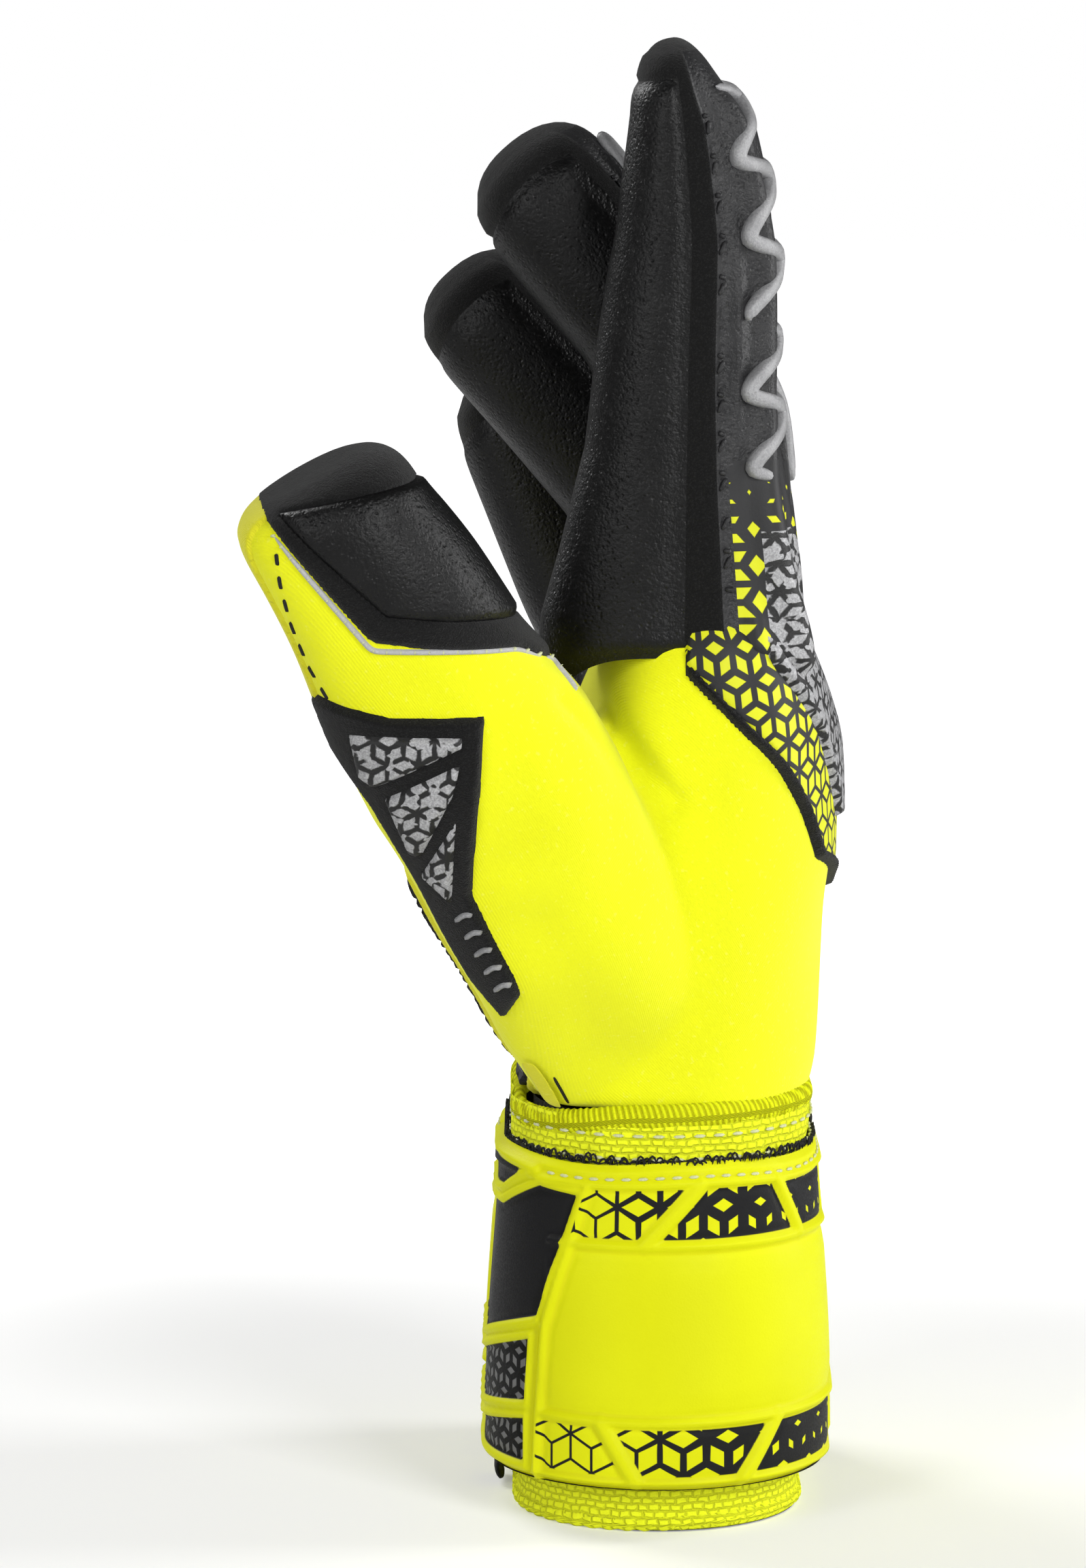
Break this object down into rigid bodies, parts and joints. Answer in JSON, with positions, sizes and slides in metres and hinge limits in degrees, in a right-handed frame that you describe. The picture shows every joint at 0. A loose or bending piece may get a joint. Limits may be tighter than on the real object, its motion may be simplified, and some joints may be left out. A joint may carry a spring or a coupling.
{
  "type": "goalkeeper glove",
  "caption": "Right-hand goalkeeper glove standing on its cuff, with jointed fingers and thumb, a flexing wrist, a wrap strap that unrolls and a pull tab.",
  "frame": {"origin": "centre of the cuff's open end, at the plane the glove stands on", "axes": "+Z from the cuff to the fingertips, -X out of the palm, +X out of the back of the hand, -Y to the thumb side"},
  "size_m": [0.1109, 0.1461, 0.2799],
  "materials": {
    "knit": "matte knit",
    "elastic": "ribbed woven elastic",
    "strap": "printed, satin",
    "latex": "grained matte foam",
    "backhand": "embossed matte",
    "silver": "printed satin",
    "black_trim": "flocked matte",
    "lining": "looped pile"
  },
  "bodies": {
    "cuff": {"cuff_elastic": "elastic", "cuff_lining": "lining", "strap_anchor": "strap", "loop_patch": "lining"},
    "strap_side_b": {"strap_side_b": "strap"},
    "strap_side_a": {"strap_side_a": "strap"},
    "strap_end": {"strap_end": "strap", "hook_patch": "black_trim"},
    "pull_tab": {"pull_tab": "black_trim"},
    "hand": {"palm_latex": "latex", "thumb_side_gusset": "knit", "little_side_gusset": "knit", "back_fabric": "knit", "backhand_panel": "backhand", "backhand_pads": "silver", "backhand_piping": "black_trim", "wrist_binding": "elastic", "wrist_lining": "lining", "thumb_gusset": "knit", "thumb_patch": "latex", "thumb_pads": "silver"},
    "thumb_proximal": {"thumb_proximal_latex": "latex", "thumb_proximal_back": "knit"},
    "thumb_tip": {"thumb_tip_latex": "latex", "thumb_tip_back": "knit"},
    "index_proximal": {"index_proximal_latex": "latex", "index_proximal_back": "backhand"},
    "index_middle": {"index_middle_latex": "latex", "index_middle_back": "backhand"},
    "index_tip": {"index_tip_latex": "latex", "index_tip_back": "backhand"},
    "middle_proximal": {"middle_proximal_latex": "latex", "middle_proximal_back": "backhand"},
    "middle_middle": {"middle_middle_latex": "latex", "middle_middle_back": "backhand"},
    "middle_tip": {"middle_tip_latex": "latex", "middle_tip_back": "backhand"},
    "ring_proximal": {"ring_proximal_latex": "latex", "ring_proximal_back": "backhand"},
    "ring_middle": {"ring_middle_latex": "latex", "ring_middle_back": "backhand"},
    "ring_tip": {"ring_tip_latex": "latex", "ring_tip_back": "backhand"},
    "little_proximal": {"little_proximal_latex": "latex", "little_proximal_back": "backhand"},
    "little_middle": {"little_middle_latex": "latex", "little_middle_back": "backhand"},
    "little_tip": {"little_tip_latex": "latex", "little_tip_back": "backhand"}
  },
  "joints": [
    {"name": "wrist_flex", "type": "hinge", "parent": "cuff", "child": "hand", "pos_m": [0.002, 0, 0.078], "axis": [0, -1, 0], "range_deg": [-12, 12], "stiffness_Nm_per_rad": 6},
    {"name": "thumb_base_flex", "type": "hinge", "parent": "hand", "child": "thumb_proximal", "pos_m": [-0.031, -0.054, 0.132], "axis": [0.6598, 0.54, 0.5225], "range_deg": [-12, 20], "stiffness_Nm_per_rad": 0.6},
    {"name": "thumb_tip_flex", "type": "hinge", "parent": "thumb_proximal", "child": "thumb_tip", "pos_m": [-0.0492, -0.06889, 0.17037], "axis": [0.6598, 0.54, 0.5225], "range_deg": [-4, 34], "stiffness_Nm_per_rad": 0.3},
    {"name": "index_knuckle", "type": "hinge", "parent": "hand", "child": "index_proximal", "pos_m": [0.005, -0.0382, 0.174], "axis": [0, -1, 0], "range_deg": [-12, 45], "stiffness_Nm_per_rad": 0.4},
    {"name": "index_middle_joint", "type": "hinge", "parent": "index_proximal", "child": "index_middle", "pos_m": [0.005, -0.0382, 0.214], "axis": [0, -1, 0], "range_deg": [-4, 50], "stiffness_Nm_per_rad": 0.15},
    {"name": "index_tip_joint", "type": "hinge", "parent": "index_middle", "child": "index_tip", "pos_m": [0.00605, -0.0382, 0.24398], "axis": [0, -1, 0], "range_deg": [-2, 25], "stiffness_Nm_per_rad": 0.05},
    {"name": "middle_knuckle", "type": "hinge", "parent": "hand", "child": "middle_proximal", "pos_m": [0.008, -0.0124, 0.169], "axis": [0, -1, 0], "range_deg": [-20, 42], "stiffness_Nm_per_rad": 0.4},
    {"name": "middle_middle_joint", "type": "hinge", "parent": "middle_proximal", "child": "middle_middle", "pos_m": [0.00188, -0.0124, 0.21257], "axis": [0, -1, 0], "range_deg": [-14, 35], "stiffness_Nm_per_rad": 0.15},
    {"name": "middle_tip_joint", "type": "hinge", "parent": "middle_middle", "child": "middle_tip", "pos_m": [-0.01038, -0.0124, 0.23663], "axis": [0, -1, 0], "range_deg": [-7, 17.5], "stiffness_Nm_per_rad": 0.05},
    {"name": "ring_knuckle", "type": "hinge", "parent": "hand", "child": "ring_proximal", "pos_m": [0.008, 0.013, 0.159], "axis": [0, -1, 0], "range_deg": [-25, 35], "stiffness_Nm_per_rad": 0.4},
    {"name": "ring_middle_joint", "type": "hinge", "parent": "ring_proximal", "child": "ring_middle", "pos_m": [-0.00698, 0.013, 0.19609], "axis": [0, -1, 0], "range_deg": [-10, 38], "stiffness_Nm_per_rad": 0.15},
    {"name": "ring_tip_joint", "type": "hinge", "parent": "ring_middle", "child": "ring_tip", "pos_m": [-0.02152, 0.013, 0.21764], "axis": [0, -1, 0], "range_deg": [-5, 19], "stiffness_Nm_per_rad": 0.05},
    {"name": "little_knuckle", "type": "hinge", "parent": "hand", "child": "little_proximal", "pos_m": [0.004, 0.0372, 0.146], "axis": [0, -1, 0], "range_deg": [-20, 38], "stiffness_Nm_per_rad": 0.4},
    {"name": "little_middle_joint", "type": "hinge", "parent": "little_proximal", "child": "little_middle", "pos_m": [-0.00482, 0.0372, 0.17676], "axis": [0, -1, 0], "range_deg": [-4, 45], "stiffness_Nm_per_rad": 0.15},
    {"name": "little_tip_joint", "type": "hinge", "parent": "little_middle", "child": "little_tip", "pos_m": [-0.01166, 0.0372, 0.19555], "axis": [0, -1, 0], "range_deg": [-2, 22.5], "stiffness_Nm_per_rad": 0.05},
    {"name": "strap_open", "type": "hinge", "parent": "cuff", "child": "strap_side_b", "pos_m": [0.0333, -0.015, 0.042], "axis": [0, 0, 1], "range_deg": [0, 60]},
    {"name": "strap_unroll", "type": "hinge", "parent": "strap_side_b", "child": "strap_side_a", "pos_m": [0, -0.0483, 0.042], "axis": [0, 0, 1], "range_deg": [0, 60]},
    {"name": "strap_lift", "type": "hinge", "parent": "strap_side_a", "child": "strap_end", "pos_m": [-0.0333, -0.015, 0.042], "axis": [0, 0, 1], "range_deg": [0, 60]},
    {"name": "tab_lift", "type": "hinge", "parent": "cuff", "child": "pull_tab", "pos_m": [-0.0283, 0, 0.0082], "axis": [0, 1, 0], "range_deg": [0, 75]}
  ],
  "couplings": [
    {"joint": "index_tip_joint", "follows": "index_middle_joint", "ratio": 0.5},
    {"joint": "middle_tip_joint", "follows": "middle_middle_joint", "ratio": 0.5},
    {"joint": "ring_tip_joint", "follows": "ring_middle_joint", "ratio": 0.5},
    {"joint": "little_tip_joint", "follows": "little_middle_joint", "ratio": 0.5},
    {"joint": "strap_unroll", "follows": "strap_open", "ratio": 1},
    {"joint": "strap_lift", "follows": "strap_open", "ratio": 1}
  ]
}
